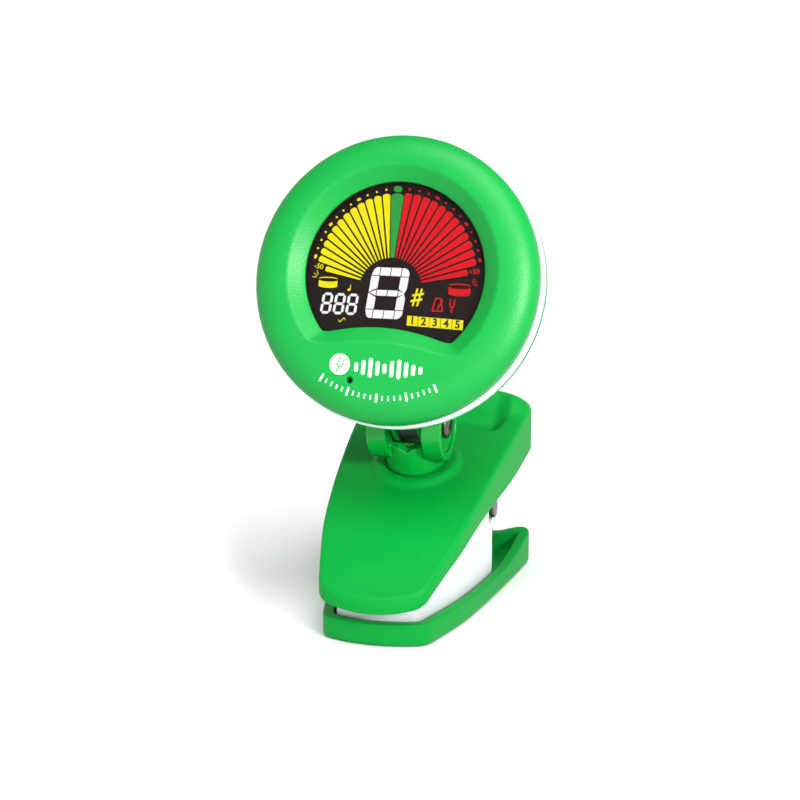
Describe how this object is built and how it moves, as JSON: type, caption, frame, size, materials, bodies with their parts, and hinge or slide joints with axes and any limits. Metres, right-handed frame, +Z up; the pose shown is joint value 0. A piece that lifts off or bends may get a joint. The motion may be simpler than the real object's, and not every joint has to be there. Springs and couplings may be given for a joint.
{
  "type": "clip on tuner",
  "caption": "Clip-on instrument tuner: a round display head on a two-axis swivel fork, carried by a sprung clip with soft jaw pads.",
  "frame": {"origin": "on the lower arm's flat underside, straight below the middle of the swivel post's foot", "axes": "+X across the clip to the right seen from the display side, +Y from the clip's tip to its handle, +Z up from the surface the clip rests on"},
  "size_m": [0.0468, 0.0518, 0.0776],
  "materials": {
    "green_plastic": "satin, very fine moulded grain",
    "white_rubber": "soft matt silicone",
    "button_rubber": "soft matt silicone",
    "light_guide": "milky",
    "clear_plastic": "polished, translucent",
    "lens_plastic": "clear, glossy",
    "lcd_glass": "dark glass with coloured segments",
    "black_rubber": "matt",
    "black_plastic": "moulded",
    "board_laminate": "green solder mask",
    "steel": "nickel plated",
    "brass": "bright"
  },
  "bodies": {
    "lower_jaw": {"lower_arm": "green_plastic", "lower_jaw_pad": "white_rubber", "pivot_pin": "steel", "torsion_spring": "steel"},
    "upper_jaw": {"upper_arm": "green_plastic", "upper_jaw_pad": "white_rubber"},
    "fork": {"swivel_fork": "green_plastic", "swivel_washer": "steel", "swivel_screw": "steel", "tilt_screw": "steel", "tilt_nut": "brass", "tilt_friction_bush": "black_rubber"},
    "head": {"front_bezel": "green_plastic", "rim_ring": "clear_plastic", "display_lens": "lens_plastic", "lcd_panel": "lcd_glass", "backlight": "light_guide", "lcd_connector": "black_rubber", "circuit_board": "board_laminate", "tuner_chip": "black_plastic", "microphone": "steel", "buzzer": "black_plastic", "vibration_sensor": "brass", "coin_cell": "steel", "battery_contact_minus": "brass", "battery_contact_plus": "brass", "tact_switch_1": "steel", "tact_switch_2": "steel", "tact_switch_3": "steel", "rear_cover": "green_plastic", "case_screw_1": "steel", "case_screw_2": "steel", "case_screw_3": "steel", "case_screw_4": "steel"},
    "battery_lid": {"battery_cover": "green_plastic"},
    "down_key": {"down_button": "button_rubber"},
    "power_key": {"power_button": "button_rubber"},
    "up_key": {"up_button": "button_rubber"}
  },
  "joints": [
    {"name": "jaw_hinge", "type": "hinge", "parent": "lower_jaw", "child": "upper_jaw", "pos_m": [0, 0.0103, 0.0127], "axis": [-1, 0, 0], "range_deg": [0, 30], "stiffness_Nm_per_rad": 0.15, "springref_deg": -63.03, "deforming": ["torsion_spring"]},
    {"name": "fork_swivel", "type": "hinge", "parent": "upper_jaw", "child": "fork", "pos_m": [0, 0, 0.0228], "axis": [0, -0.3584, 0.9336], "continuous": true},
    {"name": "head_tilt", "type": "hinge", "parent": "fork", "child": "head", "pos_m": [0, -0.00286, 0.03024], "axis": [1, 0, 0], "range_deg": [-48, 28]},
    {"name": "battery_lid_twist", "type": "hinge", "parent": "head", "child": "battery_lid", "pos_m": [0, -0.00517, 0.05318], "axis": [0, -0.9494, 0.314], "range_deg": [0, 30]},
    {"name": "down_press", "type": "slide", "parent": "head", "child": "down_key", "axis": [0, -0.9494, 0.314], "range_m": [0, 0.0005], "stiffness_N_per_m": 120, "springref_m": -0.003},
    {"name": "power_press", "type": "slide", "parent": "head", "child": "power_key", "axis": [0, -0.9494, 0.314], "range_m": [0, 0.0005], "stiffness_N_per_m": 120, "springref_m": -0.003},
    {"name": "up_press", "type": "slide", "parent": "head", "child": "up_key", "axis": [0, -0.9494, 0.314], "range_m": [0, 0.0005], "stiffness_N_per_m": 120, "springref_m": -0.003}
  ]
}
